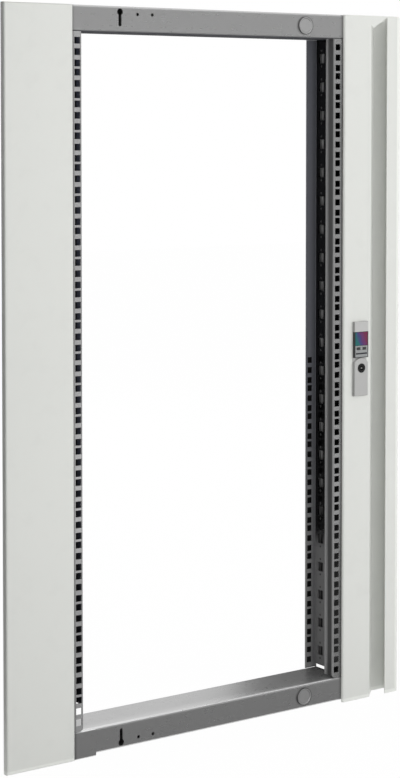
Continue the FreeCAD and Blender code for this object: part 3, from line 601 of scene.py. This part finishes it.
def finishes():
    """One finish for each material slot of the record."""
    colour = slot_colours()
    return {
        "panel_paint": powder_coat("panel_paint", colour["panel_paint"]),
        "rail_steel": rail_sheet("rail_steel", grey(0.45), 0.24),
        "upright_steel": upright_sheet("upright_steel", grey(0.42), 0.18),
        "channel_steel": channel_sheet("channel_steel", grey(0.25)),
        "cap_plastic": cap_moulding("cap_plastic", grey(0.58)),
        "hinge_steel": plated_steel("hinge_steel", colour["hinge_steel"], 0.34),
        "pivot_steel": turned_metal("pivot_steel", colour["pivot_steel"], 0.22),
        "bearing_plastic": moulded("bearing_plastic", colour["bearing_plastic"], 0.34),
        "bracket_steel": plated_steel("bracket_steel", colour["bracket_steel"], 0.36),
        "fastener_steel": plated_steel("fastener_steel", colour["fastener_steel"], 0.30),
        "lock_grey": lacquered_casting("lock_grey", tone(colour["lock_grey"], 0.85)),
        "display_black": moulded("display_black", colour["display_black"], 0.30),
        "display_colour": display_glass("display_colour"),
        "keypad_grey": moulded("keypad_grey", colour["keypad_grey"], 0.40),
        "button_dark": moulded("button_dark", colour["button_dark"], 0.40),
        "strip_dark": smoked_strip("strip_dark", colour["strip_dark"]),
        "ring_black": black_enamel("ring_black", colour["ring_black"]),
        "barrel_nickel": key_barrel("barrel_nickel", colour["barrel_nickel"]),
        "rod_steel": drawn_bar("rod_steel", colour["rod_steel"]),
        "guide_plastic": moulded("guide_plastic", colour["guide_plastic"], 0.38),
    }


def dress_solids(by_slot):
    for row in frame["record"]["subparts"]:
        solid = frame["nodes"][row["node"]]
        for slot in solid.material_slots:
            slot.material = by_slot[row["material_slot"]]


def piece(name, mesh, finish, body):
    made = bpy.data.objects.new(name, mesh)
    bpy.context.scene.collection.objects.link(made)
    mesh.materials.append(finish)
    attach(made, body)
    return made


def web_marks(name, upright, inward, finish):
    """Small punched marks above and below each slot, on the inner face of an upright's web."""
    low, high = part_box(upright)
    middle = (low[2] + high[2]) / 2
    first = middle - (UNITS - 1) / 2 * UNIT_PITCH
    face = high[0] - WEB_SHEET if inward < 0 else low[0] + WEB_SHEET
    depth = high[1] - WEB_MARK_DEPTH
    half = WEB_MARK_SIDE / 2
    turn = Matrix.Rotation(math.pi / 2, 4, "Y")
    shape = bmesh.new()
    for unit in range(UNITS):
        for way in (-1, 1):
            height = first + unit * UNIT_PITCH + way * WEB_MARK_OFFSET
            centre = Vector((face + inward * WEB_MARK_THICK / 2, depth, height))
            bmesh.ops.create_cone(
                shape,
                cap_ends=True,
                segments=WEB_MARK_CORNERS,
                radius1=half,
                radius2=half * WEB_MARK_TAPER,
                depth=WEB_MARK_THICK,
                matrix=Matrix.Translation(centre) @ turn,
            )
    mesh = bpy.data.meshes.new(name)
    shape.to_mesh(mesh)
    shape.free()
    return piece(name, mesh, finish, "swing_frame")


def seen_directly(finish):
    """1 for what the camera, a mirror or a clear piece shows, 0 for the light on other surfaces."""
    names = ("Is Camera Ray", "Is Glossy Ray", "Is Transmission Ray")
    camera, mirror, clear = (finish.node("ShaderNodeLightPath", {}, {}, name) for name in names)
    return camera.highest(mirror).highest(clear)


def pale_floor():
    bpy.ops.mesh.primitive_plane_add(size=2 * FLOOR_HALF, location=(*FLOOR_MIDDLE, -FLOOR_DROP))
    floor = bpy.context.object
    floor.name = "pale_floor"
    paint = Finish("pale_floor")
    paint.set(Base_Color=grey(FLOOR_GREY), Roughness=0.9)
    glow = paint.node("ShaderNodeEmission", {}, {"Color": WHITE, "Strength": 1.0})
    share = seen_directly(paint) * FLOOR_SHARE_WHITE
    plain = Reading(paint, paint.shader.outputs[0])
    mixed = paint.node("ShaderNodeMixShader", {}, {0: share, 1: plain, 2: glow})
    paint.feed(paint.tree.nodes["Material Output"].inputs["Surface"], mixed)
    floor.data.materials.append(paint.material)


class Room(Finish):
    """The world's own node tree, with the same way of adding nodes."""

    def __init__(self):
        world = bpy.data.worlds.new("studio")
        world.use_nodes = True
        bpy.context.scene.world = world
        self.tree = world.node_tree
        self.shader = self.tree.nodes["Background"]


def studio_room():
    room = Room()
    direct = seen_directly(room)
    room.feed(room.shader.inputs["Color"], WHITE)
    sideways = room.axis("X", "Generated").past(ROOM_ACROSS)
    backward = room.axis("Y", "Generated").past(ROOM_BEHIND)
    light = ROOM_LEFT + sideways * (ROOM_LIGHT - ROOM_LEFT) + backward * ROOM_BACK
    room.feed(room.shader.inputs["Strength"], light + direct * (1.0 - light))


def soft_lamp(name, place, target, size, power):
    lamp = bpy.data.lights.new(name, "AREA")
    lamp.shape = "RECTANGLE"
    lamp.size, lamp.size_y = size
    lamp.energy = power
    holder = bpy.data.objects.new(name, lamp)
    bpy.context.scene.collection.objects.link(holder)
    holder.location = place
    holder.rotation_euler = (Vector(target) - Vector(place)).to_track_quat("-Z", "Y").to_euler()
    holder.visible_glossy = False


def card(name, level, corners):
    """A plain studio card that the camera doesn't show."""
    mesh = bpy.data.meshes.new(name)
    mesh.from_pydata(corners, [], [range(len(corners))])
    made = bpy.data.objects.new(name, mesh)
    bpy.context.scene.collection.objects.link(made)
    made.visible_camera = False
    made.visible_transmission = False
    paint = Finish(name)
    glow = paint.node("ShaderNodeEmission", {}, {"Color": WHITE, "Strength": level})
    paint.feed(paint.tree.nodes["Material Output"].inputs["Surface"], glow)
    mesh.materials.append(paint.material)
    return made


def standing(start, end, low, high):
    """Corners of an upright card over the line from start to end."""
    return [(*start, low), (*end, low), (*end, high), (*start, high)]


def lying(low, high, height=0.001):
    """Corners of a card that lies flat between two corners."""
    corners = (low, (high[0], low[1]), high, (low[0], high[1]))
    return [(*corner, height) for corner in corners]


def studio_cards():
    """Cards that only metal and gloss show, and one that keeps light off the hinge side."""
    for name, level, corners in (
        ("rear_left_card", 0.0, standing((-0.50, 0.66), (0.20, 1.08), 0.02, 1.40)),
        ("rear_floor_card", 0.30, lying((-0.95, 0.16), (0.60, 1.00))),
        ("rear_right_card", 0.16, standing((0.94, 0.80), (2.20, 0.80), 0.02, 1.40)),
        ("front_floor_card", 0.17, lying((-0.30, -1.20), (1.90, -0.046))),
        ("front_right_card", 0.40, standing((0.20, -2.60), (2.90, -0.70), 0.01, 2.60)),
    ):
        mirrored = card(name, level, corners)
        mirrored.visible_diffuse = False
        mirrored.visible_shadow = False
    flag = card("hinge_side_flag", 0.06, standing((-0.22, -0.22), (-0.22, 0.60), 0.0, 1.40))
    flag.visible_glossy = False


def studio_lamps():
    soft_lamp("key_lamp", (1.9, -2.6, 1.6), (0.45, 0.0, 0.55), (1.6, 1.6), 31.5)
    soft_lamp("rear_lamp", (0.9, 3.2, 1.7), (0.3, 0.0, 0.55), (1.6, 1.6), 36.0)
    soft_lamp("fill_lamp", (-2.0, -3.4, 0.75), (0.50, 0.0, 0.45), (1.2, 1.2), 42.0)


def photo_camera():
    lens = bpy.data.cameras.new("camera")
    lens.lens = CAMERA_LENS
    lens.sensor_width = CAMERA_SENSOR
    lens.shift_y = CAMERA_SHIFT
    lens.clip_end = CAMERA_REACH
    holder = bpy.data.objects.new("camera", lens)
    bpy.context.scene.collection.objects.link(holder)
    holder.location = CAMERA_PLACE
    holder.rotation_euler = (math.radians(90.0 - CAMERA_PITCH), 0.0, math.radians(-CAMERA_YAW))
    bpy.context.scene.camera = holder


dress_solids(finishes())
dull_mark = channel_sheet("dull_mark", grey(0.07))
web_marks("left_web_marks", "left_upright", 1, dull_mark)
web_marks("right_web_marks", "right_upright", -1, dull_mark)
pale_floor()
studio_room()
studio_cards()
studio_lamps()
photo_camera()
bpy.context.scene.view_settings.view_transform = "Standard"
